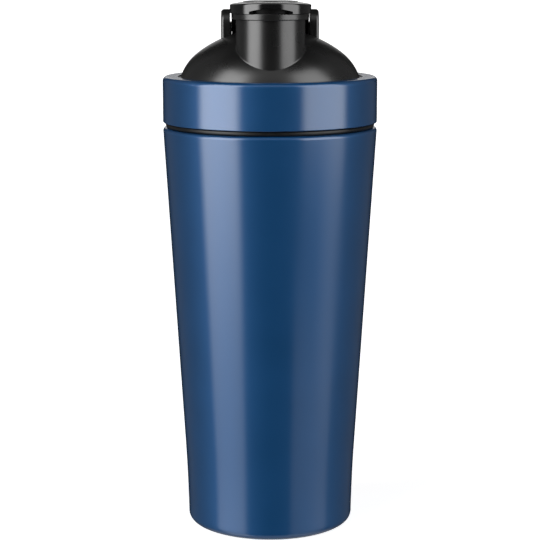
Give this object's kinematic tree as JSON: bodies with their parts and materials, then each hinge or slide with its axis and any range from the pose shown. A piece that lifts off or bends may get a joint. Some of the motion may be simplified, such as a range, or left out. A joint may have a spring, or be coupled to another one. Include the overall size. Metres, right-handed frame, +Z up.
{
  "type": "protein shaker bottle",
  "caption": "Double-wall steel protein shaker with a tapered painted body, screw lid, domed top with an offset spout, flip cap and a loose wire whisk ball.",
  "frame": {"origin": "centre of the foot ring, on the surface that the bottle stands on", "axes": "+Z up along the bottle's axis, -Y towards the drinking spout, X along the cap's hinge"},
  "size_m": [0.09, 0.09, 0.2245],
  "materials": {
    "blue_paint": "smooth semi-gloss enamel, navy to steel blue",
    "bare_steel": "turned and lightly brushed stainless sheet",
    "satin_black_plastic": "satin moulded polypropylene",
    "gloss_black_plastic": "glossy moulded polypropylene",
    "black_rubber": "smooth elastomer",
    "silicone": "satin black silicone",
    "pin_steel": "ground pin",
    "wire_steel": "polished stainless wire",
    "getter_metal": "sintered metal",
    "sealing_glass": "fused opaque bead"
  },
  "bodies": {
    "bottle": {"outer_shell": "blue_paint", "liner_wall": "bare_steel", "liner_bottom": "bare_steel", "base_plate": "bare_steel", "base_cover": "bare_steel", "seal_bead": "sealing_glass", "getter": "getter_metal"},
    "seal": {"lid_seal": "silicone"},
    "lid": {"lid_collar": "blue_paint", "lid_dome": "satin_black_plastic", "thread_ring": "satin_black_plastic", "shoulder_gasket": "black_rubber", "hinge_pin_left": "pin_steel", "hinge_pin_right": "pin_steel"},
    "cap": {"flip_cap": "gloss_black_plastic", "cap_insert": "gloss_black_plastic", "spout_seal": "silicone"},
    "agitator": {"whisk_ball": "wire_steel"}
  },
  "joints": [
    {"name": "lid_rise", "type": "slide", "parent": "bottle", "child": "seal", "axis": [0, 0, 1], "range_m": [0, 0.015]},
    {"name": "lid_turn", "type": "hinge", "parent": "seal", "child": "lid", "pos_m": [0, 0, 0.18], "axis": [0, 0, 1], "range_deg": [0, 450]},
    {"name": "cap_flip", "type": "hinge", "parent": "lid", "child": "cap", "pos_m": [0, 0.004, 0.2118], "axis": [-1, 0, 0], "range_deg": [0, 130]},
    {"name": "ball_lift", "type": "slide", "parent": "bottle", "child": "agitator", "axis": [0, 0, 1], "range_m": [0, 0.12]}
  ],
  "couplings": [
    {"joint": "lid_rise", "follows": "lid_turn", "m_per_rad": 0.0019099}
  ]
}
